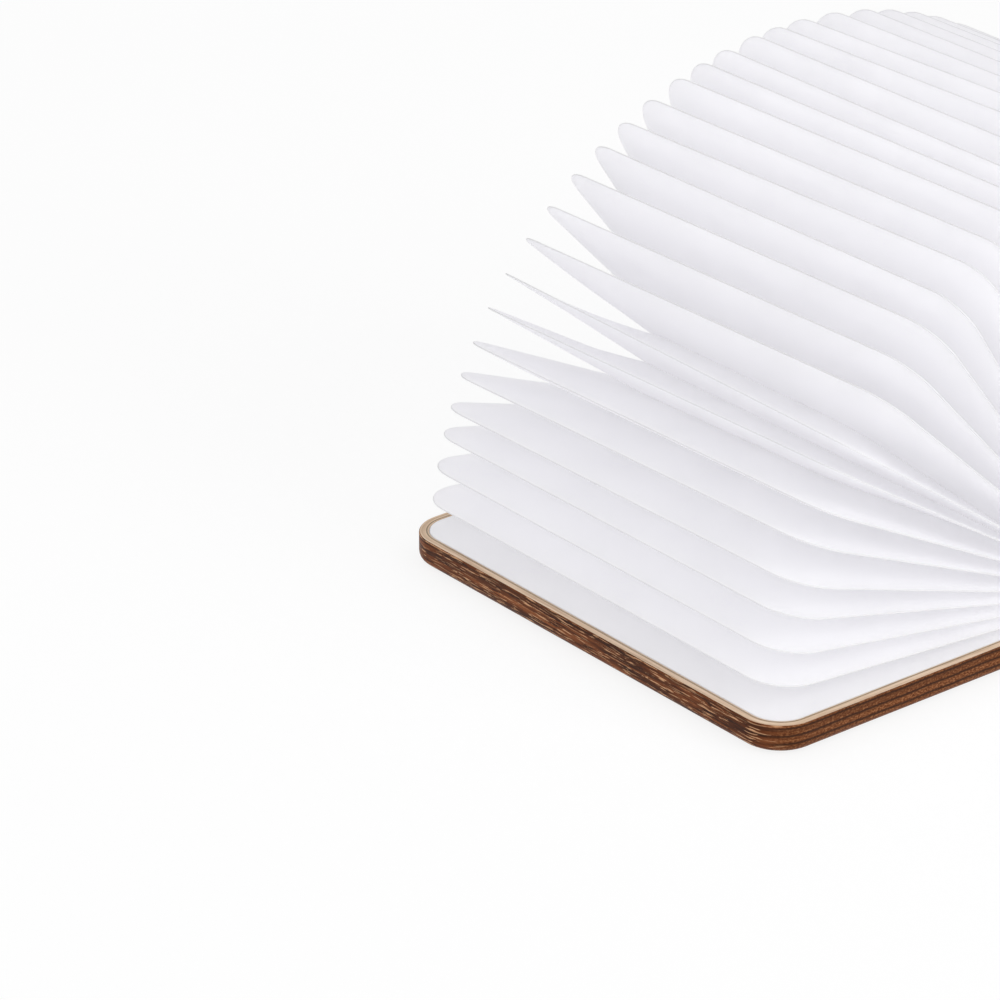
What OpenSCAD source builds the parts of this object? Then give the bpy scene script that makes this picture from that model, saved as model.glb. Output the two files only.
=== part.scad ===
// Folding book lamp, open flat: two wooden covers, a fan of pleated paper leaves and a light bar.
// X runs across both covers, Y along the spine, Z up. The covers' outer faces lie on z = 0.

/* [Covers] */
// Length of each cover along the spine
cover_length = 120; // [100:1:200]
// Distance from the hinge line to the fore-edge of a cover
cover_width = 95.2; // [80:0.1:150]
// Thickness of a cover board
board_t = 6.3; // [5:0.1:8]
// Distance from the middle of the spine to a cover's hinge line
spine_half = 6.4; // [6.3:0.1:9]
// Radius of the two rounded corners at the fore-edge
corner_r = 9; // [4:0.5:14]
// Radius of the rounded outer edge of a board
edge_r = 2; // [0.5:0.1:3]
// Width of bare wood left round the end sheet
rim = 2.1; // [1:0.1:5]
// Gap between a cover's spine edge and the hinge line
board_gap = 0.2; // [0.1:0.05:0.5]

/* [Paper] */
// Angle between two neighbouring leaves with the lamp open flat
step_angle = 4.8; // [4.5:0.05:4.85]
// Distance that the leaves stop short of the covers' fore-edge when the lamp is closed
leaf_inset = 1.5; // [0.5:0.1:4]
// Radius of a leaf's two outer corners
leaf_corner_r = 9; // [3:0.5:12]
// Depth of a pleat, from ridge to valley
pleat_depth = 24.5; // [15:0.5:30]
// Radius of the valley line at its two corners
valley_corner_r = 9; // [4:0.5:16]
// Distance from the hinge line to where a leaf starts, clear of the light bar
leaf_start = 6; // [5.8:0.1:8]
// Thickness of the paper
paper_t = 0.3; // [0.15:0.05:0.4]
// Angle left between the valley lines of two neighbouring leaves
valley_angle = 0.16; // [0.1:0.02:0.3]
// Thickness of the end sheet pasted into a cover
sheet_t = 0.4; // [0.2:0.05:0.8]
// Depth of the end sheet's top face below the rim
sheet_drop = 0.1; // [0.05:0.05:0.4]

/* [Spine] */
// Thickness of the spine cloth
cloth_t = 0.4; // [0.2:0.05:0.8]
// Gap between the spine cloth and the hinge line
cloth_gap = 0.3; // [0.2:0.05:0.6]
// Width of the tape pasted on each cover at the hinge
tape_w = 9; // [6:0.5:16]

/* [Light bar] */
// Width of the light bar
bar_w = 10.4; // [10.2:0.1:12]
// Height of the low ends of the bar
tail_h = 4.2; // [4:0.1:4.4]
// Gap between each end of the bar and the end of the covers
bar_end_gap = 3; // [2.5:0.1:8]
// Height of the tray's walls in the middle of the bar
tray_h = 8; // [7:0.1:10]
// Height of the whole bar in the middle, with its diffuser
bar_h = 13.2; // [12.5:0.1:18]
// Gap between the middle of the bar and the pleats' inner line
bar_pleat_gap = 2.5; // [1.5:0.1:6]
// Thickness of the tray's walls
tray_wall = 0.9; // [0.7:0.05:1]
// Thickness of the tray's floor
tray_floor = 0.5; // [0.4:0.05:0.6]
// Thickness of the diffuser
diffuser_t = 0.9; // [0.7:0.05:1.2]
// Radius of the tray's rounded upper edges
bar_edge_r = 1; // [0.5:0.1:1.5]
// Gap left between parts that fit inside one another
fit_gap = 0.1; // [0.05:0.01:0.15]

/* [Electronics] */
// Thickness of the LED board
led_board_t = 1; // [0.6:0.1:1.6]
// Number of LEDs
led_count = 12; // [4:1:16]
// Length and width of an LED
led_size = 2.8; // [1.6:0.1:3.5]
// Height of an LED
led_h = 0.7; // [0.4:0.1:1.2]
// Gap between each end of the cell and the end of the bar's middle
cell_end_gap = 7.9; // [7:0.1:12]
// Height of the cell
cell_h = 5.6; // [4:0.1:6]
// Thickness of the foam pad under the cell
pad_t = 0.5; // [0.3:0.1:0.8]
// Thickness of the control board
pcb_t = 0.8; // [0.6:0.1:1]
// Length of the control board
pcb_l = 21; // [18:0.5:23]
// Width of the charging socket
usb_w = 7.5; // [7.4:0.1:7.8]
// Height of the charging socket
usb_h = 2.5; // [2.4:0.1:2.6]
// Depth of the charging socket
usb_l = 5.5; // [5:0.1:6]
// Thickness of the socket's sheet metal
usb_t = 0.3; // [0.2:0.05:0.35]
// Diameter of a lead
lead_d = 0.9; // [0.6:0.05:1]

/* [Magnets] */
// Diameter of a closing magnet
magnet_d = 10; // [6:0.5:14]
// Thickness of a closing magnet
magnet_t = 2.6; // [1.5:0.1:3]
// Distance from a closing magnet's centre to the cover's edges
magnet_inset = 13; // [9.5:0.5:22]
// Diameter of the magnet that switches the lamp
trigger_d = 5; // [3:0.5:6]
// Thickness of the magnet that switches the lamp
trigger_t = 2; // [1:0.1:2.5]

/* [Hidden] */
$fn = 48;

// Length by which a cutter passes beyond the face that it cuts
over = 1;
// Film of glue between the end sheet and the foot of its fold
glue_t = 0.03;
fore_x = spine_half + cover_width;
board_x = spine_half + board_gap;
sheet_z = board_t - sheet_drop;
recess_z = sheet_z - sheet_t;
tape_end_x = board_x + tape_w;
magnet_x = fore_x - magnet_inset;
magnet_y = cover_length / 2 - magnet_inset;

// The leaves: the middle one stands upright on the spine, and half the others follow each cover
leaf_count = 37;
mid_leaf = (leaf_count + 1) / 2;
stack_pitch = spine_half / mid_leaf;
first_x = (mid_leaf - 1) * stack_pitch;
leaf_reach = cover_width - leaf_inset;
sheet_reach = fore_x - rim - fit_gap - first_x;
leaf_half = cover_length / 2 - rim;
valley_half = leaf_half - pleat_depth;
valley_reach = leaf_reach - pleat_depth;
arc_steps = 5;

// The light bar stands on the spine cloth, between the pleats' inner lines
cloth_z = board_t + cloth_t;
bar_l = cover_length - 2 * bar_end_gap;
mid_l = 2 * (valley_half - bar_pleat_gap);
tail_l = (bar_l - mid_l) / 2;
bay_w = bar_w - 2 * tray_wall;
floor_z = cloth_z + tray_floor;
tray_top_z = cloth_z + tray_h;
led_board_z = tray_top_z;
led_board_w = bar_w - 2 * diffuser_t - 2 * fit_gap;
led_board_l = mid_l - 2 * diffuser_t - 2 * fit_gap;
led_pitch = (led_board_l - 2 * led_size) / (led_count - 1);
tail_bay_top_z = cloth_z + tail_h - tray_floor;

// Play on each side of the cell, and inset of the foam pad below it
cell_play = 0.5;
pad_inset = 1;
cell_w = bay_w - 2 * cell_play;
cell_l = mid_l - 2 * cell_end_gap;
cell_z = floor_z + pad_t;

// Play on each side of the control board, and its setback from the bar's end wall
pcb_play = 0.3;
pcb_setback = 2.2;
// Height of the chips on the control board
chip_h = 0.9;
// Length and width of the magnetic switch, and its distance from the board's far end
switch_l = 3;
switch_w = 1.6;
switch_inset = 5;
// Distances from the switch to the driver chip, the charging chip and the small parts
driver_step = 3.2;
charger_step = 7.4;
small_step = 10.6;
// Size of the socket's lower chamfers, and its tongue's thickness and setback
usb_chamfer = 0.9;
tongue_t = 0.6;
tongue_setback = 1;
usb_back_y = usb_l - bar_l / 2;
usb_z = cloth_z + (tail_h - usb_h) / 2;
pcb_w = bay_w - 2 * pcb_play;
pcb_y = -bar_l / 2 + tray_wall + pcb_setback;
pcb_z = usb_z + (usb_h - pcb_t) / 2;
pcb_top_z = pcb_z + pcb_t;
switch_y = pcb_y + pcb_l - switch_inset;

// Wood left between the trigger magnet and the board's spine edge
trigger_margin = 1.6;
trigger_x = board_x + trigger_d / 2 + trigger_margin;

// Ledges in the tray under the control board, and ribs past the cell under the LED board
ledge_w = 1;
ledge_gap = 0.3;
rib_t = 1.2;
rib_gap = 4;
rib_y = cell_l / 2 + rib_gap;

// Distance of the cell's leads and of the LED board's leads from the middle of the bar
cell_lead_x = 0.8;
led_lead_x = 3;
// Length of a lead that lies on the control board, and gap from the cell to the upright leads
lead_lap = 3;
lead_rise_gap = 2;
lead_z = pcb_top_z + lead_d / 2;

wood = "saddlebrown";
paper = "ghostwhite";
cloth = "gainsboro";
steel = "silver";

// Direction of a leaf, measured from the left cover upwards
function leaf_angle(i) = 90 + (i - mid_leaf) * step_angle;

// A point of a leaf at distance r from its hinge line, swung off the leaf's own plane
function leaf_point(i, r, y, swing) = [
  (i - mid_leaf) * stack_pitch - r * cos(leaf_angle(i) + swing),
  y,
  board_t + r * sin(leaf_angle(i) + swing)
];

// Outline of a pleat line: near end, rounded corner, fore-edge, rounded corner, far end
function pleat_line(reach, half, r) = concat(
  [[leaf_start, -half]],
  [for (k = [0:arc_steps]) let (a = -90 + 90 * k / arc_steps)
    [reach - r + r * cos(a), -half + r + r * sin(a)]],
  [for (k = [0:arc_steps]) let (a = 90 * k / arc_steps)
    [reach - r + r * cos(a), half - r + r * sin(a)]],
  [[leaf_start, half]]
);
ridge_line = pleat_line(leaf_reach, leaf_half, leaf_corner_r);
valley_line = pleat_line(valley_reach, valley_half, valley_corner_r);

// Share of a fold's height that the paper fills, which is nearly all of it at the hub
function fill(height) = min(0.85, paper_t / height);

// Faces of a tube whose rings of n points follow each other, closed at both ends
function tube_faces(rings, n) = concat(
  [[for (j = [0:n - 1]) j]],
  [for (k = [0:rings - 2], j = [0:n - 1]) [k * n + j, (k + 1) * n + j, (k + 1) * n + (j + 1) % n]],
  [for (k = [0:rings - 2], j = [0:n - 1]) [k * n + j, (k + 1) * n + (j + 1) % n, k * n + (j + 1) % n]],
  [[for (j = [0:n - 1]) rings * n - 1 - j]]
);

// One leaf: a sheet folded along its ridge line, open towards the hub
module leaf(i) {
  swing = (step_angle - valley_angle) / 2;
  rings = len(ridge_line);
  points = [for (k = [0:rings - 1])
    let (
      ridge = ridge_line[k],
      valley = valley_line[k],
      f = fill(valley[0] * sin(swing)),
      apex = ridge + f * (valley - ridge),
      inner = swing * (1 - f)
    )
    each [
      leaf_point(i, valley[0], valley[1], inner),
      leaf_point(i, apex[0], apex[1], 0),
      leaf_point(i, valley[0], valley[1], -inner),
      leaf_point(i, valley[0], valley[1], -swing),
      leaf_point(i, ridge[0], ridge[1], 0),
      leaf_point(i, valley[0], valley[1], swing)
    ]
  ];
  color(paper) polyhedron(points, tube_faces(rings, 6), convexity = 4);
}

// Plan of a cover board or of a sheet that lies inside its edge
module cover_plan(inset, x_start) {
  r = corner_r - inset;
  x_end = fore_x - inset;
  y_end = cover_length / 2 - inset;
  translate([x_start, -y_end]) square([x_end - r - x_start, 2 * y_end]);
  translate([x_start, -y_end + r]) square([x_end - x_start, 2 * (y_end - r)]);
  for (s = [-1, 1]) translate([x_end - r, s * (y_end - r)]) circle(r);
}

// Places of the closing magnets on the right-hand cover
module at_magnets() {
  for (s = [-1, 1]) translate([magnet_x, s * magnet_y, recess_z]) children();
}

// Section across a board, square at its upper corners and rounded at its lower ones
module board_section(from, to, round_from) {
  translate([from, edge_r]) square([to - from, board_t - edge_r]);
  translate([round_from ? from + edge_r : from, 0])
    square([to - from - (round_from ? 2 : 1) * edge_r, board_t]);
  translate([to - edge_r, edge_r]) circle(edge_r);
  if (round_from) translate([from + edge_r, edge_r]) circle(edge_r);
}

// Ring that rounds the lower edge of a corner, cut to the corner's own quarter
module corner_cutter() {
  intersection() {
    rotate_extrude() difference() {
      translate([corner_r - edge_r, -over]) square([edge_r + over, edge_r + over]);
      translate([corner_r - edge_r, edge_r]) circle(edge_r);
    }
    translate([0, 0, -corner_r]) cube(2 * corner_r);
  }
}

// Right-hand cover board, with rounded outer edges and a shallow recess for the end sheet
module cover_board() {
  difference() {
    intersection() {
      linear_extrude(board_t) cover_plan(0, board_x);
      translate([0, cover_length / 2, 0]) rotate([90, 0, 0])
        linear_extrude(cover_length) board_section(board_x, fore_x, false);
      rotate([90, 0, 90])
        linear_extrude(fore_x) board_section(-cover_length / 2, cover_length / 2, true);
    }
    for (s = [0, 1]) mirror([0, s, 0])
      translate([fore_x - corner_r, cover_length / 2 - corner_r, 0]) corner_cutter();
    translate([0, 0, recess_z]) linear_extrude(board_t) cover_plan(rim, board_x - over);
    at_magnets() translate([0, 0, -magnet_t - fit_gap])
      cylinder(d = magnet_d + 2 * fit_gap, h = board_t);
  }
}

// End sheet pasted into the right-hand cover, with its half fold rising to the first valley
module end_sheet() {
  swing = leaf_angle(1) - step_angle / 2 - valley_angle / 2;
  foot_line = pleat_line(sheet_reach, leaf_half - fit_gap, corner_r - rim - fit_gap);
  points = [for (k = [0:len(foot_line) - 1])
    let (
      ridge = foot_line[k],
      valley = valley_line[k],
      rise = valley[0] * sin(swing),
      f = fill(rise),
      foot = ridge + f * (valley - ridge)
    )
    each [
      [first_x + foot[0], foot[1], sheet_z + glue_t],
      [first_x + valley[0], valley[1], board_t + rise * (1 - f)],
      [first_x + valley[0], valley[1], board_t + rise],
      [first_x + ridge[0], ridge[1], sheet_z + glue_t]
    ]
  ];
  color(paper) {
    translate([0, 0, recess_z]) linear_extrude(sheet_t) cover_plan(rim + fit_gap, tape_end_x + fit_gap);
    polyhedron(points, tube_faces(len(foot_line), 4), convexity = 4);
  }
}

// Cloth tape pasted on the right-hand cover beside the hinge line
module hinge_tape() {
  color(cloth) translate([board_x, -cover_length / 2 + rim + fit_gap, recess_z])
    cube([tape_w, cover_length - 2 * (rim + fit_gap), sheet_t]);
}

module closing_magnets() {
  color(steel) at_magnets() translate([0, 0, -magnet_t - fit_gap])
    cylinder(d = magnet_d, h = magnet_t);
}

module left_cover() {
  color(wood) mirror([1, 0, 0]) cover_board();
}

module right_cover() {
  color(wood) difference() {
    cover_board();
    translate([trigger_x, switch_y, recess_z - trigger_t - fit_gap])
      cylinder(d = trigger_d + 2 * fit_gap, h = board_t);
  }
}

module left_end_sheet() {
  mirror([1, 0, 0]) end_sheet();
}

module right_end_sheet() {
  end_sheet();
}

module left_hinge_tape() {
  mirror([1, 0, 0]) hinge_tape();
}

module right_hinge_tape() {
  hinge_tape();
}

module left_magnets() {
  mirror([1, 0, 0]) closing_magnets();
}

module right_magnets() {
  closing_magnets();
}

module sensor_magnet() {
  color(steel) translate([trigger_x, switch_y, recess_z - trigger_t - fit_gap])
    cylinder(d = trigger_d, h = trigger_t);
}

// Flexible cloth that joins the two covers across the spine
module spine_cloth() {
  half = spine_half - cloth_gap;
  color(cloth) translate([-half, -cover_length / 2 + rim, board_t])
    cube([2 * half, cover_length - 2 * rim, cloth_t]);
}

// Upright section of the bar with rounded upper edges
module bar_section(h) {
  translate([-bar_w / 2, 0]) square([bar_w, h - bar_edge_r]);
  translate([-bar_w / 2 + bar_edge_r, 0]) square([bar_w - 2 * bar_edge_r, h]);
  for (s = [-1, 1]) translate([s * (bar_w / 2 - bar_edge_r), h - bar_edge_r]) circle(bar_edge_r);
}

// A section drawn in X and Z, carried along Y and centred on the spine
module along_spine(length) {
  translate([0, length / 2, 0]) rotate([90, 0, 0]) linear_extrude(length) children();
}

// Tray of the light bar: low ends under the pleats and an open trough in the middle
module bar_tray() {
  color("white") {
    difference() {
      union() {
        translate([0, 0, cloth_z]) along_spine(bar_l) bar_section(tail_h);
        translate([-bar_w / 2, -mid_l / 2, cloth_z]) cube([bar_w, mid_l, tray_h]);
      }
      translate([-bay_w / 2, -mid_l / 2 + tray_wall, floor_z])
        cube([bay_w, mid_l - 2 * tray_wall, tray_h]);
      translate([-bay_w / 2, -bar_l / 2 + tray_wall, floor_z])
        cube([bay_w, tail_l + tray_wall, tail_bay_top_z - floor_z]);
      translate([-usb_w / 2 - fit_gap, -bar_l / 2 - over, usb_z - fit_gap])
        cube([usb_w + 2 * fit_gap, tray_wall + 2 * over, usb_h + 2 * fit_gap]);
    }
    for (s = [-1, 1]) translate([0, s * rib_y, 0]) board_rib();
    for (s = [0, 1]) mirror([s, 0, 0]) board_ledge();
  }
}

// Rib across the trough that carries an end of the LED board
module board_rib() {
  w = bay_w + tray_wall;
  translate([-w / 2, -rib_t / 2, tail_bay_top_z]) cube([w, rib_t, tray_top_z - tail_bay_top_z]);
}

// Ledge along a wall of the low end, under an edge of the control board
module board_ledge() {
  translate([bay_w / 2 - ledge_w, usb_back_y + ledge_gap, cloth_z])
    cube([ledge_w + tray_wall / 2, pcb_y + pcb_l - usb_back_y - ledge_gap, pcb_z - cloth_z]);
}

// Diffuser: a closed hood with a rounded top that stands on the tray
module bar_diffuser() {
  h = bar_h - tray_h;
  color("white") translate([0, 0, tray_top_z]) difference() {
    along_spine(mid_l) diffuser_section(bar_w / 2, h);
    translate([0, 0, -over]) along_spine(mid_l - 2 * diffuser_t)
      diffuser_section(bar_w / 2 - diffuser_t, h - diffuser_t + over);
  }
}

// Section of the diffuser: straight sides under a flat top with large round edges
module diffuser_section(half, h) {
  r = 0.9 * min(half, h / 2);
  translate([-half, 0]) square([2 * half, h - r]);
  translate([-half + r, 0]) square([2 * (half - r), h]);
  for (s = [-1, 1]) translate([s * (half - r), h - r]) circle(r);
}

// Narrow board that lies on the tray's ribs, inside the diffuser
module led_board() {
  color("white") translate([-led_board_w / 2, -led_board_l / 2, led_board_z])
    cube([led_board_w, led_board_l, led_board_t]);
}

module led_chips() {
  color("khaki") for (k = [0:led_count - 1])
    translate([0, (k - (led_count - 1) / 2) * led_pitch, led_board_z + led_board_t])
      translate([-led_size / 2, -led_size / 2, 0]) cube([led_size, led_size, led_h]);
}

// Flat rechargeable cell with rounded edges
module battery() {
  r = min(cell_h, cell_w) * 0.3;
  color("lightsteelblue") translate([0, 0, cell_z]) along_spine(cell_l) {
    translate([-cell_w / 2, r]) square([cell_w, cell_h - 2 * r]);
    translate([-cell_w / 2 + r, 0]) square([cell_w - 2 * r, cell_h]);
    for (x = [-1, 1], z = [r, cell_h - r]) translate([x * (cell_w / 2 - r), z]) circle(r);
  }
}

module battery_pad() {
  color("dimgray") translate([-cell_w / 2 + pad_inset, -cell_l / 2 + pad_inset, floor_z])
    cube([cell_w - 2 * pad_inset, cell_l - 2 * pad_inset, pad_t]);
}

// Charging board in the near end of the bar, notched round the socket
module control_board() {
  color("seagreen") difference() {
    translate([-pcb_w / 2, pcb_y, pcb_z]) cube([pcb_w, pcb_l, pcb_t]);
    translate([-usb_w / 2, pcb_y - over, pcb_z - over])
      cube([usb_w, usb_back_y - pcb_y + over, pcb_t + 2 * over]);
  }
}

// A block on the charging board, centred on x, y away from the board's near edge
module part_on_board(x, y, size) {
  translate([x - size[0] / 2, pcb_y + y - size[1] / 2, pcb_top_z]) cube(size);
}

// Chips and small parts on the charging board
module board_parts() {
  color("black") {
    part_on_board(0, pcb_l - switch_inset - charger_step, [4, 3.2, chip_h]);
    part_on_board(0, pcb_l - switch_inset - driver_step, [2.8, 1.6, chip_h]);
    for (s = [-1, 1]) part_on_board(2 * s, pcb_l - switch_inset - small_step, [1.2, 0.8, chip_h / 2]);
  }
}

// Magnetic switch on the side of the board next to the trigger magnet
module hall_switch() {
  color("black")
    part_on_board(pcb_w / 2 - switch_w, pcb_l - switch_inset, [switch_w, switch_l, chip_h]);
}

// Outline of the socket's shell, with its two lower corners cut off
module usb_section(inset) {
  w = usb_w / 2 - inset;
  cut = usb_chamfer - inset / 2;
  polygon([
    [-w + cut, inset], [w - cut, inset], [w, inset + cut],
    [w, usb_h - inset], [-w, usb_h - inset], [-w, inset + cut]
  ]);
}

// Charging socket, set in the near end of the bar
module usb_shell() {
  color(steel) translate([0, usb_back_y, usb_z]) rotate([90, 0, 0]) difference() {
    linear_extrude(usb_l) usb_section(0);
    translate([0, 0, usb_t]) linear_extrude(usb_l) usb_section(usb_t);
  }
}

module usb_tongue() {
  y = -bar_l / 2 + tongue_setback;
  color("black") translate([-usb_w / 4, y, usb_z + (usb_h - tongue_t) / 2])
    cube([usb_w / 2, usb_back_y - usb_t - y, tongue_t]);
}

// A straight lead along the bar
module lead(x, y_from, y_to) {
  translate([x, y_from, lead_z]) rotate([-90, 0, 0]) cylinder(d = lead_d, h = y_to - y_from, $fn = 16);
}

// Two leads from the cell to the board, and two that rise from the board to the LEDs
module leads() {
  y_start = pcb_y + pcb_l - lead_lap;
  y_rise = -cell_l / 2 - lead_rise_gap;
  color("firebrick") for (s = [-1, 1]) {
    lead(s * cell_lead_x, y_start, -cell_l / 2);
    lead(s * led_lead_x, y_start, y_rise);
    translate([s * led_lead_x, y_rise, lead_z]) {
      sphere(d = lead_d, $fn = 16);
      cylinder(d = lead_d, h = led_board_z - lead_z, $fn = 16);
    }
  }
}

left_cover();
right_cover();
left_end_sheet();
right_end_sheet();
left_hinge_tape();
right_hinge_tape();
left_magnets();
right_magnets();
sensor_magnet();
spine_cloth();
bar_tray();
bar_diffuser();
led_board();
led_chips();
battery();
battery_pad();
control_board();
board_parts();
hall_switch();
usb_shell();
usb_tongue();
leads();
leaf(1);  // leaf_01
leaf(2);  // leaf_02
leaf(3);  // leaf_03
leaf(4);  // leaf_04
leaf(5);  // leaf_05
leaf(6);  // leaf_06
leaf(7);  // leaf_07
leaf(8);  // leaf_08
leaf(9);  // leaf_09
leaf(10);  // leaf_10
leaf(11);  // leaf_11
leaf(12);  // leaf_12
leaf(13);  // leaf_13
leaf(14);  // leaf_14
leaf(15);  // leaf_15
leaf(16);  // leaf_16
leaf(17);  // leaf_17
leaf(18);  // leaf_18
leaf(19);  // leaf_19
leaf(20);  // leaf_20
leaf(21);  // leaf_21
leaf(22);  // leaf_22
leaf(23);  // leaf_23
leaf(24);  // leaf_24
leaf(25);  // leaf_25
leaf(26);  // leaf_26
leaf(27);  // leaf_27
leaf(28);  // leaf_28
leaf(29);  // leaf_29
leaf(30);  // leaf_30
leaf(31);  // leaf_31
leaf(32);  // leaf_32
leaf(33);  // leaf_33
leaf(34);  // leaf_34
leaf(35);  // leaf_35
leaf(36);  // leaf_36
leaf(37);  // leaf_37
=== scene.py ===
import math

import bpy
import numpy as np
from mathutils import Matrix, Vector


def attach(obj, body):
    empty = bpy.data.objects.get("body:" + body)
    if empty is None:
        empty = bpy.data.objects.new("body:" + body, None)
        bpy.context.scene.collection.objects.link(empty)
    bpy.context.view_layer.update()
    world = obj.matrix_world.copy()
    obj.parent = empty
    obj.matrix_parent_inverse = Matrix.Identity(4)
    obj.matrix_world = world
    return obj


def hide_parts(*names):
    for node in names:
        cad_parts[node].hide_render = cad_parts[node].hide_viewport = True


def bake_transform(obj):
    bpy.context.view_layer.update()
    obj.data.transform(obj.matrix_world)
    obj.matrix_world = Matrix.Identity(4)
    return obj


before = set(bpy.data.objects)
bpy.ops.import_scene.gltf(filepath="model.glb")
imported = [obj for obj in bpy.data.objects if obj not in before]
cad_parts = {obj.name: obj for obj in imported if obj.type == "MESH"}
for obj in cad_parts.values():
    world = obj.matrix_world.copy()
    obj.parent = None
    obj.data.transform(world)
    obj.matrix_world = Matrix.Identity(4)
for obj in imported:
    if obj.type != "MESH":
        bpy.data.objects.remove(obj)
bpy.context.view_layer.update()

MM = 0.001

# The model in millimetres. A reach is measured from a hinge line, a half from the lamp's middle
# along Y, and a corner is a radius. The pleats' first ridge, the foot, is glued into a cover.
HINGE_X, HINGE_Z = 6.4, 6.3
MIDDLE = 19  # number of the middle leaf
STEP = 4.8  # degrees between two leaves
PITCH = HINGE_X / MIDDLE  # distance between their hinge lines
LEAF_REACH, LEAF_HALF, LEAF_CORNER = 93.7, 57.9, 9.0
FOOT_REACH, FOOT_HALF, FOOT_CORNER, FOOT_Z = 93.34, 57.8, 6.8, 6.21
VALLEY_REACH, VALLEY_HALF, VALLEY_CORNER = 69.2, 33.4, 9.0
LEAF_START = 6.0
PAPER = 0.15  # thickness

# A cover board begins at BOARD_X beside the spine and is BOARD_T thick. EDGE is the radius of its
# outer edge, and RIM the width of the bare rim round the recess for the end sheet.
COVER_LENGTH, FORE_X, BOARD_X, BOARD_T = 120.0, 101.6, 6.6, 6.3
CORNER, EDGE, RIM, RECESS_Z, SHEET_Z = 9.0, 2.0, 2.1, 5.8, 6.2
RIM_SOFT, RECESS_SOFT, SHEET_SOFT = 0.3, 0.15, 0.12  # radii of the smaller edges
SHEET_GAP, SHEET_START, SHEET_LIFT = 0.1, 15.7, 0.01

# The spine cloth drops from the spine to the board between DROP_START and DROP_START + DROP_RUN
CLOTH_HALF, CLOTH_T, CLOTH_DROP, DROP_START, DROP_RUN = 57.8, 0.4, 0.5, 5.9, 0.9

# Degrees by which each leaf, from number 1 at the left cover, stands off its even place
HANG = [0, 1.09, 0.88, 0.65, -0.22, -0.29, -0.70, -0.55, -1.35, -0.05, 0.10, 0.50, 0.38, 0.40,
        0.06, 0.10, -1.07, -2.28, -2.12, -2.20, -2.49, -2.48, -2.42, -2.44, -2.50, -2.60, -2.65,
        -2.5, -2.1, -1.9, -1.4, -1.3, -0.9, -0.8, -0.3, -0.2, 0.2, 0.1]
# Degrees by which its far end stands off the middle, and its near end the other way
TWIST = [0, 0.08, 0.09, -0.05, -0.33, -0.67, -0.59, -0.65, 0.35, -0.57, -0.59, -0.54, -0.34,
         -0.77, -0.57, -0.52, -0.20, 0.09, -0.17, -1.21, -1.60, -0.94, -0.40, -0.82, -1.47, -2.29,
         -2.38, -1.9, -1.3, -0.7, -0.2, 0.3, 0.5, 0.4, 0.1, -0.2, 0.1, 0.2]
# Millimetres by which the panels of all leaves sag, and by which those of single leaves lean
# together. Both grow with the distance from the hinge line, to this power.
SAG = 0.55
PINCH = {7: 0.5, 8: 0.6}
GROWTH = 1.5

# Points along half a pleat line: on its leg, its corner and its fore-edge
LEG_STEPS, CORNER_STEPS, FORE_STEPS = 16, 8, 7
PANEL_STEPS = 7  # from a ridge to the valley
NOSE_ANGLES = (0, 30, 60, 90)
# Points on a cover's corner, its outer edge, and the outer and inner edge of its rim
CORNER_POINTS, EDGE_POINTS, RIM_POINTS, RECESS_POINTS = 13, 8, 5, 4

# Millimetres between the places of pieces in a texture, so that no two of them look alike
NEXT_PLEAT, NEXT_SIDE, OUTER_FACE, SPINE_FACE = 37, 61, 300, 500
SEAM = 0.2  # width of the last strip round a pleat in its texture

PAINTED_GLOW = 0.22  # painted light: an even glow of the paper, which lifts the shade in its deep folds, though the light bar gives no light
THROUGH = 0.5  # share of the light that goes through it
PAINTED_SHADOW_LINE = 0.00895  # metres in the texture of a board, where the rim has a painted shadow line near its inner edge
# Heights in metres of the lines between a board's layers, and their depth on the fore-edge
LAYERS = ((0.00335, 0.35), (0.00510, 0.5), (0.00680, 0.65))

# The camera in degrees, in pixels of the photo and in millimetres
AZIMUTH, ELEVATION, ROLL = -38.80, 25.59, 0.06
FOCAL_LENGTH, PHOTO_WIDTH, SENSOR = 5381.2, 1000, 36
CAMERA_PLACE = (-730.73, -755.79, 506.05)

# Surroundings in metres and watts
FLOOR_HALF, FLOOR_Z = 6, -0.0005
FLOOR_SHARE, FLOOR_WHITE = 0.8, 1.04  # share and strength of the white that the camera sees
WORLD_LIGHT, WORLD_SEEN = 0.62, 1.0  # strength as light and as background
LAMP_TARGET, LAMP_SIZE = (0, 0, 0.04), 1.3


def add_camera():
    azimuth, elevation, roll = (math.radians(a) for a in (AZIMUTH, ELEVATION, ROLL))
    back = Vector((math.sin(azimuth) * math.cos(elevation),
                   -math.cos(azimuth) * math.cos(elevation), math.sin(elevation)))
    camera = bpy.data.objects.new("camera", bpy.data.cameras.new("camera"))
    bpy.context.scene.collection.objects.link(camera)
    camera.data.sensor_width = SENSOR
    camera.data.lens = FOCAL_LENGTH / PHOTO_WIDTH * SENSOR
    camera.data.clip_end = 20
    camera.location = Vector(CAMERA_PLACE) * MM
    turn = back.to_track_quat("Z", "Y").to_matrix() @ Matrix.Rotation(roll, 3, "Z")
    camera.rotation_euler = turn.to_euler()
    bpy.context.scene.camera = camera


add_camera()


def new_material(name):
    material = bpy.data.materials.new(name)
    material.use_nodes = True
    tree = material.node_tree
    return material, tree, tree.nodes["Principled BSDF"]


def plug(tree, node, inputs):
    """Gives inputs of a node a number, a colour or another node's output."""
    for key, value in inputs.items():
        if isinstance(value, (int, float)):
            node.inputs[key].default_value = value
        elif isinstance(value, tuple):
            node.inputs[key].default_value = (*value, 1)
        else:
            tree.links.new(value, node.inputs[key])


def add_node(tree, kind, inputs=None, **settings):
    node = tree.nodes.new(kind)
    for key, value in settings.items():
        setattr(node, key, value)
    plug(tree, node, inputs or {})
    return node


def coordinates(tree, kind="UV"):
    return add_node(tree, "ShaderNodeTexCoord").outputs[kind]


def split(tree, vector):
    return add_node(tree, "ShaderNodeSeparateXYZ", {"Vector": vector}).outputs


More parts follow.
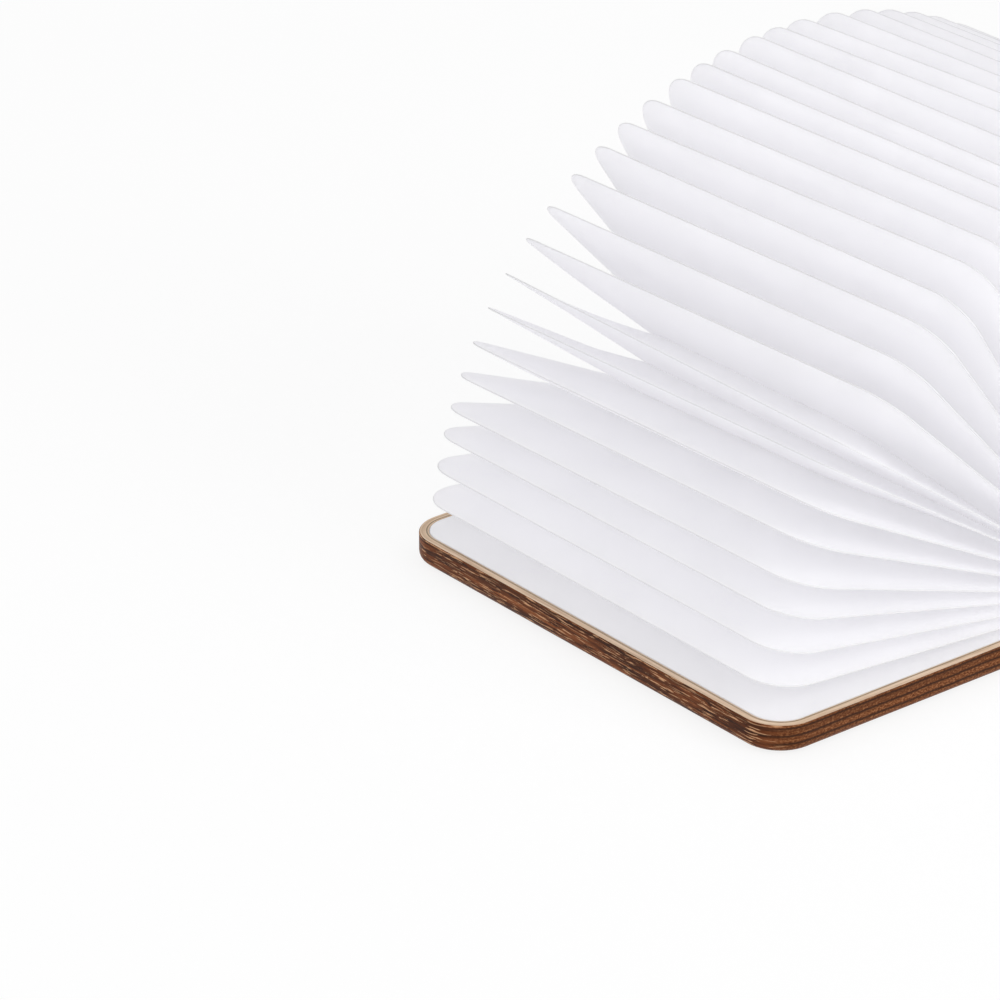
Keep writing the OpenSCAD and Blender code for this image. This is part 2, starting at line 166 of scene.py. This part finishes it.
def scaled(tree, source, scale):
    node = add_node(tree, "ShaderNodeMapping", {"Vector": source})
    node.inputs["Scale"].default_value = scale
    return node.outputs["Vector"]


def noise(tree, vector, scale, detail=4.0, roughness=0.5, distortion=0.0):
    return add_node(tree, "ShaderNodeTexNoise", {
        "Vector": vector, "Scale": scale, "Detail": detail, "Roughness": roughness,
        "Distortion": distortion}).outputs["Fac"]


def streaked(tree, uv, along, across, **shape):
    """Noise with so many spots in a metre along U and across it."""
    return noise(tree, scaled(tree, uv, (along, across, 1)), 1.0, **shape)


def calculated(tree, operation, *values):
    return add_node(tree, "ShaderNodeMath", dict(enumerate(values)), operation=operation).outputs[0]


def distance_from(tree, value, place):
    return calculated(tree, "ABSOLUTE", calculated(tree, "SUBTRACT", value, place))


def spread(tree, source, low, high, to_low=0.0, to_high=1.0):
    """Maps the values from low to high onto those from to_low to to_high."""
    return add_node(tree, "ShaderNodeMapRange", {
        "Value": source, "From Min": low, "From Max": high, "To Min": to_low,
        "To Max": to_high}).outputs["Result"]


def ramp(tree, source, stops):
    node = add_node(tree, "ShaderNodeValToRGB", {"Fac": source})
    elements = node.color_ramp.elements
    while len(elements) > 1:
        elements.remove(elements[-1])
    elements[0].position = stops[0][0]
    elements[0].color = (*stops[0][1], 1)
    for place, colour in stops[1:]:
        elements.new(place).color = (*colour, 1)
    return node.outputs["Color"]


def mixed(tree, factor, a, b, blend="MIX"):
    return add_node(tree, "ShaderNodeMix", {0: factor, 6: a, 7: b}, data_type="RGBA",
                    blend_type=blend).outputs[2]


def bump(tree, shader, height, strength, distance):
    node = add_node(tree, "ShaderNodeBump",
                    {"Height": height, "Strength": strength, "Distance": distance})
    plug(tree, shader, {"Normal": node.outputs["Normal"]})


def mix_surface(tree, share, first, second):
    """Makes a mix of two shaders the surface, with the given share of the second."""
    blend = add_node(tree, "ShaderNodeMixShader", {0: share, 1: first, 2: second})
    plug(tree, tree.nodes["Material Output"], {"Surface": blend.outputs[0]})


def paper_material(name, painted_glow_and_translucency):
    """Spun-bonded paper: white, with faint clouds and long fine fibres. UV is in metres. The
    glowing kind lets light through and has painted light: an even glow that lifts the shade in its
    deep folds.
    """
    material, tree, shader = new_material(name)
    uv = coordinates(tree)
    clouds = noise(tree, uv, 60, detail=3)
    fibres = noise(tree, scaled(tree, uv, (1, 3.2, 1)), 420,
                   detail=6, roughness=0.62, distortion=1.6)
    colour = ramp(tree, clouds, [(0.3, (0.870, 0.868, 0.878)), (0.7, (0.905, 0.903, 0.912))])
    colour = mixed(tree, spread(tree, fibres, 0.35, 0.7, 0.0, 0.5), colour, (0.935, 0.933, 0.942))
    plug(tree, shader, {
        "Base Color": colour, "Roughness": spread(tree, fibres, 0.3, 0.7, 0.62, 0.78),
        "Specular IOR Level": 0.25, "Emission Color": (0.985, 0.98, 1.0),
        "Emission Strength": PAINTED_GLOW if painted_glow_and_translucency else 0})
    bump(tree, shader, fibres, 0.25, 0.00006)
    if painted_glow_and_translucency:
        through = add_node(tree, "ShaderNodeBsdfTranslucent", {"Color": colour})
        mix_surface(tree, THROUGH, shader.outputs[0], through.outputs[0])
    return material


def wood_material():
    """Oiled brown wood: streaks on the long sides, banded end grain on the short ones."""
    material, tree, shader = new_material("cover_wood_dark")
    uv = coordinates(tree)
    figure = streaked(tree, uv, 40, 560, detail=5, roughness=0.6, distortion=0.7)
    pale = streaked(tree, uv, 210, 2700, detail=3, roughness=0.55, distortion=0.45)
    pores = streaked(tree, uv, 130, 2100, detail=4, roughness=0.6, distortion=0.4)
    facing = split(tree, coordinates(tree, "Normal"))
    colour = ramp(tree, figure, [
        (0.32, (0.044, 0.010, 0.002)), (0.44, (0.100, 0.026, 0.006)),
        (0.54, (0.165, 0.047, 0.014)), (0.66, (0.255, 0.083, 0.030))])
    colour = mixed(tree, spread(tree, pores, 0.53, 0.60, 0.0, 0.85), colour, (0.020, 0.006, 0.003))

    # The pale streaks are weaker on the broad faces
    broad = calculated(tree, "ABSOLUTE", facing["Z"])
    streaks = calculated(tree, "MULTIPLY", spread(tree, pale, 0.56, 0.62, 0.0, 0.95),
                         spread(tree, broad, 0.75, 0.98, 1.0, 0.35))
    colour = mixed(tree, streaks, colour, (0.66, 0.36, 0.19))

    speckle = streaked(tree, uv, 1700, 2600, detail=3, roughness=0.6)
    bands = streaked(tree, uv, 12, 900, detail=2, roughness=0.5)
    end_grain = ramp(tree, speckle, [
        (0.36, (0.085, 0.022, 0.005)), (0.50, (0.195, 0.062, 0.018)),
        (0.64, (0.360, 0.150, 0.060))])
    end_grain = mixed(tree, spread(tree, bands, 0.4, 0.62, 0.0, 0.55), end_grain,
                      (0.066, 0.018, 0.004))
    short_side = spread(tree, calculated(tree, "ABSOLUTE", facing["Y"]), 0.5, 0.9)
    colour = mixed(tree, short_side, colour, end_grain)

    waver = streaked(tree, uv, 60, 0, detail=3)
    height = calculated(tree, "ADD", split(tree, uv)["Y"],
                        spread(tree, waver, 0.3, 0.7, -0.0002, 0.0002))
    for layer, depth in LAYERS:
        line = spread(tree, distance_from(tree, height, layer), 0.0001, 0.0004, 1.0, 0.0)
        shade = calculated(tree, "MULTIPLY", line, spread(tree, short_side, 0, 1, depth, 0.9))
        colour = mixed(tree, shade, colour, (0.030, 0.009, 0.003))

    plug(tree, shader, {"Base Color": colour, "Specular IOR Level": 0.12,
                        "Roughness": spread(tree, figure, 0.3, 0.7, 0.4, 0.58)})
    without_pores = mixed(tree, 1.0, (1, 1, 1), pores, "DIFFERENCE")
    bump(tree, shader, mixed(tree, 0.5, pale, without_pores), 0.5, 0.00018)
    return material


def rim_material():
    """Pale bare wood of the inner rim, with a painted shadow: a fine dark line near its inner side,
    along the end sheet's edge.
    """
    material, tree, shader = new_material("cover_wood_pale")
    uv = coordinates(tree)
    grain = streaked(tree, uv, 55, 1500, detail=6, roughness=0.6, distortion=0.4)
    colour = ramp(tree, grain, [
        (0.35, (0.57, 0.390, 0.250)), (0.5, (0.735, 0.535, 0.365)), (0.65, (0.84, 0.645, 0.48))])
    # Painted shadow: the dark line stands in for the shadow line at the end sheet's edge
    gap = distance_from(tree, split(tree, uv)["Y"], PAINTED_SHADOW_LINE)
    painted_shadow = spread(tree, gap, 0.00006, 0.00022, 0.85, 0.0)
    plug(tree, shader, {"Base Color": mixed(tree, painted_shadow, colour, (0.17, 0.11, 0.05)),
                        "Roughness": spread(tree, grain, 0.3, 0.7, 0.5, 0.65)})
    bump(tree, shader, grain, 0.3, 0.0001)
    return material


def cloth_material():
    """White tear-proof cloth with a fine woven face."""
    material, tree, shader = new_material("woven_cloth")
    place = coordinates(tree, "Object")
    warp, weft = (
        add_node(tree, "ShaderNodeTexWave", {"Vector": place, "Scale": 900.0, "Distortion": 0.6},
                 bands_direction=direction).outputs["Fac"] for direction in "XY")
    weave = mixed(tree, 0.5, warp, weft)
    clouds = noise(tree, place, 90, detail=4)
    colour = mixed(tree, weave, (0.66, 0.66, 0.66), (0.80, 0.80, 0.80))
    colour = mixed(tree, spread(tree, clouds, 0.3, 0.7, 0.0, 0.4), colour, (0.72, 0.71, 0.69))
    plug(tree, shader, {"Base Color": colour, "Roughness": 0.85})
    bump(tree, shader, weave, 0.4, 0.0001)
    return material


def plastic_material(name, colour, roughness, grain=0.25, subsurface=0.0):
    """Moulded plastic with a fine spark-eroded texture."""
    material, tree, shader = new_material(name)
    place = coordinates(tree, "Object")
    fine = noise(tree, place, 2600, detail=3)
    broad = noise(tree, place, 60, detail=3)
    darker = tuple(0.93 * c for c in colour)
    plug(tree, shader, {
        "Base Color": mixed(tree, spread(tree, broad, 0.3, 0.7), darker, colour),
        "Roughness": spread(tree, fine, 0.3, 0.7, roughness - 0.05, roughness + 0.07),
        "Subsurface Weight": subsurface, "Subsurface Scale": 0.002})
    bump(tree, shader, fine, grain, 0.00008)
    return material


def metal_material(name, colour, roughness):
    """Plated metal with faint brushing."""
    material, tree, shader = new_material(name)
    place = coordinates(tree, "Object")
    brushed = noise(tree, scaled(tree, place, (60, 2400, 60)), 1.0, detail=4)
    darker = tuple(0.85 * c for c in colour)
    plug(tree, shader, {
        "Base Color": ramp(tree, brushed, [(0.3, darker), (0.7, colour)]),
        "Roughness": spread(tree, brushed, 0.3, 0.7, roughness - 0.05, roughness + 0.08),
        "Metallic": 1.0})
    bump(tree, shader, brushed, 0.1, 0.00003)
    return material


# The pleated paper has painted light: an even glow that lifts the shade in its deep folds
PAPER_WITH_PAINTED_GLOW = paper_material("pleated_paper_painted_glow", painted_glow_and_translucency=True)
PAPER_WITHOUT_GLOW = paper_material("paper_without_glow", painted_glow_and_translucency=False)
WOOD = wood_material()
PALE_WOOD = rim_material()
CLOTH = cloth_material()
NODE_MATERIALS = {
    "left_magnets": metal_material("magnet_nickel_plate", (0.75, 0.74, 0.72), 0.25),
    "bar_tray": plastic_material("bar_white_plastic", (0.84, 0.84, 0.82), 0.45),
    "bar_diffuser": plastic_material("bar_milky_diffuser", (0.90, 0.90, 0.88), 0.35, grain=0.1,
                                     subsurface=0.4),
    "led_board": plastic_material("white_coated_board", (0.86, 0.86, 0.84), 0.4),
    "led_chips": plastic_material("led_phosphor_dome", (0.86, 0.70, 0.25), 0.3),
    "battery": metal_material("cell_foil", (0.62, 0.65, 0.68), 0.4),
    "battery_pad": plastic_material("dark_foam", (0.06, 0.06, 0.06), 0.9, grain=0.8),
    "control_board": plastic_material("green_board", (0.03, 0.20, 0.09), 0.35),
    "board_parts": plastic_material("moulded_epoxy", (0.025, 0.025, 0.027), 0.5),
    "usb_shell": metal_material("socket_plated_steel", (0.72, 0.72, 0.73), 0.3),
    "leads": plastic_material("lead_sleeve_red", (0.45, 0.03, 0.02), 0.45),
}
for twin, first in (("right_magnets", "left_magnets"), ("sensor_magnet", "left_magnets"),
                    ("hall_switch", "board_parts"), ("usb_tongue", "board_parts")):
    NODE_MATERIALS[twin] = NODE_MATERIALS[first]
for name, material in NODE_MATERIALS.items():
    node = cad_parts[name]
    if not node.data.materials:
        node.data.materials.append(material)
    for slot in node.material_slots:
        slot.material = material


def make_object(name, points, faces, materials, flip, kinds=None, uvs=None, *, sharp):
    """An object from points in millimetres.

    flip turns all faces over. kinds has the material's number of each face, uvs has a list of
    pairs in millimetres for each face, and sharp says of an edge's two points if it is sharp.
    """
    if flip:
        faces = [face[::-1] for face in faces]
        uvs = uvs and [pairs[::-1] for pairs in uvs]
    mesh = bpy.data.meshes.new(name)
    mesh.from_pydata((np.asarray(points, float) * MM).tolist(), [], faces)
    for material in materials:
        mesh.materials.append(material)
    if kinds is not None:
        mesh.polygons.foreach_set("material_index", kinds)
    if uvs is not None:
        layer = mesh.uv_layers.new(name="UVMap")
        layer.data.foreach_set("uv", (np.concatenate(uvs) * MM).ravel())
    mesh.shade_smooth()
    edges = np.empty(len(mesh.edges) * 2, int)
    mesh.edges.foreach_get("vertices", edges)
    flags = np.array([sharp(a, b) for a, b in edges.reshape(-1, 2)], bool)
    attribute = mesh.attributes.new("sharp_edge", "BOOLEAN", "EDGE")
    attribute.data.foreach_set("value", flags)
    mesh.update()
    item = bpy.data.objects.new(name, mesh)
    bpy.context.scene.collection.objects.link(item)
    return item


def run_length(points):
    """Distance along a line of points, from the first of them to each."""
    return np.concatenate([[0], np.cumsum(np.linalg.norm(np.diff(points, axis=0), axis=1))])


def unit(v):
    return v / np.maximum(np.linalg.norm(v, axis=-1, keepdims=True), 1e-12)


def pleat_line(reach, half, corner):
    """A U-shaped pleat line as distances from its hinge and places along Y, and its directions."""
    places, outward = [], []
    for t in np.linspace(0, 1, LEG_STEPS + 1)[:-1]:
        places.append((LEAF_START + t * (reach - corner - LEAF_START), -half))
        outward.append((0, -1))
    for a in np.radians(np.linspace(-90, 0, CORNER_STEPS + 1))[:-1]:
        places.append((reach - corner + corner * math.cos(a),
                       -half + corner + corner * math.sin(a)))
        outward.append((math.cos(a), math.sin(a)))
    for y in np.linspace(-half + corner, 0, FORE_STEPS + 1):
        places.append((reach, y))
        outward.append((1, 0))
    return tuple(np.concatenate([part, part[-2::-1] * (1, -1)])
                 for part in (np.array(places), np.array(outward, float)))


STATIONS = len(pleat_line(LEAF_REACH, LEAF_HALF, LEAF_CORNER)[0])


def placed(line, theta, hinge):
    """Points of a pleat line that stands at the angle theta on a hinge line at an X and a Z."""
    r, y = line[:, 0], line[:, 1]
    return np.stack([hinge[0] - r * np.cos(theta), y, hinge[1] + r * np.sin(theta)], 1)


def distance_to(hinge, points):
    return np.linalg.norm(points[:, [0, 2]] - hinge, axis=1)


def leaf_number(index, side):
    return index if side < 0 else 2 * MIDDLE - index


def ridge(index, side):
    """Ridge number index from a cover, 0 being the foot, as it stands on the left side."""
    leaf = leaf_number(index, side)
    if index == 0:
        line, outward = pleat_line(FOOT_REACH, FOOT_HALF, FOOT_CORNER)
        angle, hinge, hang, twist = 0.0, (-(MIDDLE - 1) * PITCH, FOOT_Z), 0.0, 0.0
    else:
        line, outward = pleat_line(LEAF_REACH, LEAF_HALF, LEAF_CORNER)
        angle, hinge = 90 + (index - MIDDLE) * STEP, ((index - MIDDLE) * PITCH, HINGE_Z)
        hang, twist = -side * HANG[leaf], -side * TWIST[leaf]
    theta = np.radians(angle + hang + twist * line[:, 1] / LEAF_HALF)
    return {
        "points": placed(line, theta, hinge), "theta": theta, "hinge": hinge,
        "out": np.stack([-np.cos(theta) * outward[:, 0], outward[:, 1],
                         np.sin(theta) * outward[:, 0]], 1),
        "normal": np.stack([np.sin(theta), 0 * theta, np.cos(theta)], 1),
        "sag": SAG if index else 0, "pinch": PINCH.get(leaf, 0)}


def valley_between(low, high):
    line, _ = pleat_line(VALLEY_REACH, VALLEY_HALF, VALLEY_CORNER)
    hinge = [(a + b) / 2 for a, b in zip(low["hinge"], high["hinge"])]
    return placed(line, (low["theta"] + high["theta"]) / 2, hinge)


def panel(fold, valley, sign):
    """Rows of points from a ridge to the valley. sign is 1 for the low ridge, -1 for the high.

    Gives the rows round the ridge's nose, down the panel and down its back, the row in the
    nose's centre, the panel's facing, and the degrees by which its bend turns each row.
    """
    out, normal, hinge = fold["out"], sign * fold["normal"], fold["hinge"]
    centre = fold["points"] - PAPER * out
    nose = [centre + PAPER * (out * math.cos(a) + normal * math.sin(a))
            for a in np.radians(NOSE_ANGLES)]
    across = valley - nose[-1]
    facing = unit(np.cross(np.gradient(centre, axis=0), across))
    facing = facing * np.sign((facing * normal).sum(1, keepdims=True))
    growth = (distance_to(hinge, fold["points"]) / LEAF_REACH) ** GROWTH
    middle_bend = -fold["sag"] * np.cos(fold["theta"]) * growth - sign * (fold["pinch"] * growth)
    steps = np.linspace(0, 1, PANEL_STEPS + 1)[1:-1]
    bends = [math.sin(math.pi * v) * middle_bend for v in steps]
    inner = [nose[-1] + v * across + bend[:, None] * fold["normal"]
             for v, bend in zip(steps, bends)]
    backs = [row - PAPER * facing for row in inner]
    leans = [np.degrees(bend / distance_to(hinge, row)) for row, bend in zip(inner, bends)]
    return nose, inner, backs, centre, facing, leans


def pleat(index, side):
    """One pleat, from a ridge through its valley to the next ridge, as a thin closed sheet."""
    low, high = ridge(index, side), ridge(index + 1, side)
    valley = valley_between(low, high)
    nose_a, inner_a, backs_a, centre_a, facing_a, leans_a = panel(low, valley, 1)
    nose_b, inner_b, backs_b, centre_b, facing_b, leans_b = panel(high, valley, -1)
    opening = unit((nose_a[-1] + nose_b[-1]) / 2 - valley)

    # Each row of the loop has a share, 0 at the low ridge and 1 at the high one, and a lean
    noses, still = len(nose_a), np.zeros(STATIONS)
    shares = np.linspace(0, 0.5, PANEL_STEPS + 1)[1:-1]
    loop = nose_a + inner_a + [valley] + inner_b[::-1] + nose_b[::-1]
    share = [0] * noses + list(shares) + [0.5] + list(1 - shares[::-1]) + [1] * noses
    lean = [still] * noses + leans_a + [still] + leans_b[::-1] + [still] * noses
    loop += [centre_b] + backs_b
    loop += [valley - PAPER * facing for facing in (facing_b, opening, facing_a)]
    loop += backs_a[::-1] + [centre_a]
    share += [1] + list(1 - shares) + [0.5] * 3 + list(shares[::-1]) + [0]
    lean += [still] + leans_b + [still] * 3 + leans_a[::-1] + [still]
    count, share = len(loop), np.array(share)

    along = run_length(low["points"])
    around = run_length(np.stack(loop)[:, STATIONS // 2])
    around = np.append(around, around[-1] + SEAM)
    faces, uvs = [], []
    for k in range(STATIONS - 1):
        for j in range(count):
            quad = [(k, j), (k + 1, j), (k + 1, j + 1), (k, j + 1)]
            faces.append([a * count + b % count for a, b in quad])
            uvs.append([(along[a] + NEXT_PLEAT * index, around[b] + NEXT_SIDE * side)
                        for a, b in quad])
    for end in range(count), range((STATIONS - 1) * count, STATIONS * count)[::-1]:
        faces.append(list(end))
        uvs.append([(0, around[j % count]) for j in end])
    crease = noses + len(inner_a)
    # Painted shade: the rows round each ridge's nose have no glow, so each ridge draws a thin dark
    # line that stands in for the shadow line under it
    painted_shade_rows = set(range(noses - 1)) | {2 * crease - j for j in range(1, noses)}
    name = f"{'left' if side < 0 else 'right'}_pleat_{index:02d}"
    item = make_object(name, np.stack(loop, 1).reshape(-1, 3) * (-side, 1, 1), faces,
                       [PAPER_WITH_PAINTED_GLOW, PAPER_WITHOUT_GLOW], side > 0,
                       [int(j in painted_shade_rows) for j in range(count)] * (STATIONS - 1) + [0, 0], uvs,
                       sharp=lambda a, b: a % count == b % count == crease)

    leaf = leaf_number(index, side)
    # When the lamp closes, each point would turn by what is left to the upright, so that all end
    # flat; these angles are worked out here but not used
    angles = np.degrees(low["theta"][:, None] * (1 - share) + high["theta"][:, None] * share)
    angles += np.stack(lean, 1)
    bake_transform(item)
    nodes = [f"leaf_{leaf:02d}"] if index else [f"{'left' if side < 0 else 'right'}_end_sheet"]
    if index == MIDDLE - 1:
        nodes.append(f"leaf_{MIDDLE:02d}")
    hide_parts(*nodes)


def arc(x, y, radius, first, last):
    """Points of a cover's corner round (x, y), between two angles in degrees."""
    return [(x + radius * math.cos(a), y + radius * math.sin(a))
            for a in np.radians(np.linspace(first, last, CORNER_POINTS))]


def board_outline(inset):
    """Edge of a cover, from the spine at the near end to the spine at the far end."""
    radius = CORNER - inset
    x_end, y_end = FORE_X - inset, COVER_LENGTH / 2 - inset
    return [(BOARD_X, -y_end), *arc(x_end - radius, -y_end + radius, radius, -90, 0),
            *arc(x_end - radius, y_end - radius, radius, 0, 90), (BOARD_X, y_end)]


def board_profile():
    """Insets and heights from the outer face round the edge and rim into the recess."""
    def turns(points):
        return np.radians(np.linspace(0, 90, points))

    profile = [(EDGE - EDGE * math.sin(a), EDGE - EDGE * math.cos(a)) for a in turns(EDGE_POINTS)]
    profile += [(RIM_SOFT - RIM_SOFT * math.cos(a), BOARD_T - RIM_SOFT + RIM_SOFT * math.sin(a))
                for a in turns(RIM_POINTS)]
    rim_first = len(profile) - 1
    profile += [(RIM - RECESS_SOFT + RECESS_SOFT * math.sin(a),
                 BOARD_T - RECESS_SOFT + RECESS_SOFT * math.cos(a)) for a in turns(RECESS_POINTS)]
    profile.append((RIM, RECESS_Z))
    return profile, rim_first


def cover_board(side):
    profile, rim_first = board_profile()
    rings = [board_outline(inset) for inset, z in profile]
    count = len(rings[0])
    points = [(side * x, y, z) for (inset, z), ring in zip(profile, rings) for x, y in ring]
    along = run_length(rings[EDGE_POINTS - 1])
    up = run_length(profile)
    faces, uvs, kinds = [], [], []

    def add(corners, pairs, kind):
        faces.append(corners)
        uvs.append(pairs)
        kinds.append(kind)

    for k in range(len(rings) - 1):
        for j in range(count - 1):
            quad = [(k, j), (k, j + 1), (k + 1, j + 1), (k + 1, j)]
            add([a * count + b for a, b in quad], [(along[b], up[a]) for a, b in quad],
                int(k >= rim_first - 1))
    starts = [k * count for k in range(len(rings))]
    outer = list(range(count))[::-1]
    recess = [starts[-1] + j for j in range(count)]
    spine_face = [start + count - 1 for start in starts] + starts[::-1]
    add(outer, [(points[j][1] + OUTER_FACE, points[j][0]) for j in outer], 0)
    add(recess, [(points[j][1], points[j][0]) for j in recess], 1)
    add(spine_face, [(points[j][1] + SPINE_FACE, points[j][2]) for j in spine_face], 0)
    name = "left_cover_board" if side < 0 else "right_cover_board"
    flat_end = {0, count - 1}
    item = make_object(name, points, faces, [WOOD, PALE_WOOD], side < 0, kinds, uvs,
                       sharp=lambda a, b: a % count in flat_end and b % count in flat_end
                       or (a // count == b // count and a // count in (0, len(rings) - 1)))
    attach(item, "left_cover" if side < 0 else "right_cover")
    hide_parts("left_cover" if side < 0 else "right_cover")


def tube_faces(count, rings):
    """Faces of a closed tube of rings of count points each, with a face at both ends."""
    faces = [[k * count + j, k * count + (j + 1) % count,
              (k + 1) * count + (j + 1) % count, (k + 1) * count + j]
             for k in range(rings - 1) for j in range(count)]
    return faces + [list(range(count))[::-1], [(rings - 1) * count + j for j in range(count)]]


def end_sheet(side):
    """The sheet pasted into the recess of a cover, with softly cut edges."""
    inset = RIM + SHEET_GAP
    radius = CORNER - inset
    x_end, y_end, x_start = FORE_X - inset, COVER_LENGTH / 2 - inset, SHEET_START
    outline = [(x_start, -y_end), *arc(x_end - radius, -y_end + radius, radius, -90, 0)]
    outline += [(x, -y) for x, y in outline[::-1]]
    outline = np.array(outline)
    count = len(outline)
    rings = [(0.0, RECESS_Z + SHEET_LIFT), (0.0, SHEET_Z - SHEET_SOFT),
             (0.3 * SHEET_SOFT, SHEET_Z - 0.3 * SHEET_SOFT), (SHEET_SOFT, SHEET_Z)]
    middle = np.array([(x_start + x_end) / 2, 0])
    size = np.array([(x_end - x_start) / 2, y_end])
    points = [(side * x, y, z) for step, z in rings
              for x, y in middle + (outline - middle) * (1 - step / size)]
    faces = tube_faces(count, len(rings))
    uvs = [[points[j][:2] for j in face] for face in faces]
    item = make_object(f"{'left' if side < 0 else 'right'}_end_paper", points, faces,
                       [PAPER_WITHOUT_GLOW], side < 0, uvs=uvs,
                       sharp=lambda a, b: a // count == b // count)
    body = "left_cover" if side < 0 else "right_cover"
    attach(item, body)


def spine_cloth(side):
    """Half of the spine cloth, which bends at its hinge line and so has more points there."""
    xs = np.concatenate([np.linspace(0, 5.6, 5), np.linspace(5.8, 7.0, 13),
                         np.linspace(7.4, 15.6, 7)])
    drop = np.clip((xs - DROP_START) / DROP_RUN, 0, 1)
    drop = drop * drop * (3 - 2 * drop)
    bottom, top = BOARD_T - CLOTH_DROP * drop, BOARD_T + CLOTH_T - CLOTH_DROP * drop
    ys = np.linspace(-CLOTH_HALF, CLOTH_HALF, 30)
    section = [*zip(xs, top), *zip(xs[::-1], bottom[::-1])]
    count = len(section)
    points = [(side * x, y, z) for y in ys for x, z in section]
    name = "spine_cloth_left" if side < 0 else "spine_cloth_right"
    turns = (0, len(xs) - 1, len(xs), count - 1)
    item = make_object(name, points, tube_faces(count, len(ys)), [CLOTH], side > 0,
                       sharp=lambda a, b: a % count == b % count and a % count in turns)
    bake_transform(item)
    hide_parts("spine_cloth" if side < 0 else "right_hinge_tape",
                *(["left_hinge_tape"] if side < 0 else []))


for side in (-1, 1):
    cover_board(side)
    end_sheet(side)
    spine_cloth(side)
    for index in range(MIDDLE):
        pleat(index, side)


def backdrop_rays(tree):
    """1 for rays that show the white background: of the camera, off metal, through plastic."""
    path = add_node(tree, "ShaderNodeLightPath").outputs
    seen = calculated(tree, "MAXIMUM", path["Is Camera Ray"], path["Is Glossy Ray"])
    return calculated(tree, "MAXIMUM", seen, path["Is Transmission Ray"])


def add_floor():
    material, tree, shader = new_material("pale_floor")
    clouds = noise(tree, coordinates(tree, "Object"), 3, detail=3)
    colour = ramp(tree, clouds, [(0.3, (0.93, 0.93, 0.935)), (0.7, (0.95, 0.95, 0.95))])
    plug(tree, shader, {"Base Color": colour, "Roughness": 0.9, "Specular IOR Level": 0.0})
    share = calculated(tree, "MULTIPLY", backdrop_rays(tree), FLOOR_SHARE)
    white = add_node(tree, "ShaderNodeEmission", {"Color": (1, 1, 1), "Strength": FLOOR_WHITE})
    mix_surface(tree, share, shader.outputs[0], white.outputs[0])
    mesh = bpy.data.meshes.new("floor")
    corners = [(x * FLOOR_HALF, y * FLOOR_HALF, 0) for x, y in ((-1, -1), (1, -1), (1, 1), (-1, 1))]
    mesh.from_pydata(corners, [], [(0, 1, 2, 3)])
    mesh.materials.append(material)
    floor = bpy.data.objects.new("floor", mesh)
    bpy.context.scene.collection.objects.link(floor)
    floor.location.z = FLOOR_Z


def add_world():
    world = bpy.data.worlds.new("studio")
    bpy.context.scene.world = world
    world.use_nodes = True
    tree = world.node_tree
    strength = spread(tree, backdrop_rays(tree), 0.0, 1.0, WORLD_LIGHT, WORLD_SEEN)
    plug(tree, tree.nodes["Background"], {"Color": (1.0, 1.0, 1.0), "Strength": strength})


def add_lamp(name, place, power):
    lamp = bpy.data.lights.new(name, "AREA")
    lamp.shape = "SQUARE"
    lamp.size = LAMP_SIZE
    lamp.energy = power
    item = bpy.data.objects.new(name, lamp)
    bpy.context.scene.collection.objects.link(item)
    item.location = place
    towards = Vector(place) - Vector(LAMP_TARGET)
    item.rotation_euler = towards.to_track_quat("Z", "Y").to_euler()


add_floor()
add_world()
add_lamp("key", (0.5, -1.7, 0.9), 13)
add_lamp("fill", (-1.6, -0.7, 0.8), 8)

bpy.context.scene.view_settings.view_transform = "Standard"
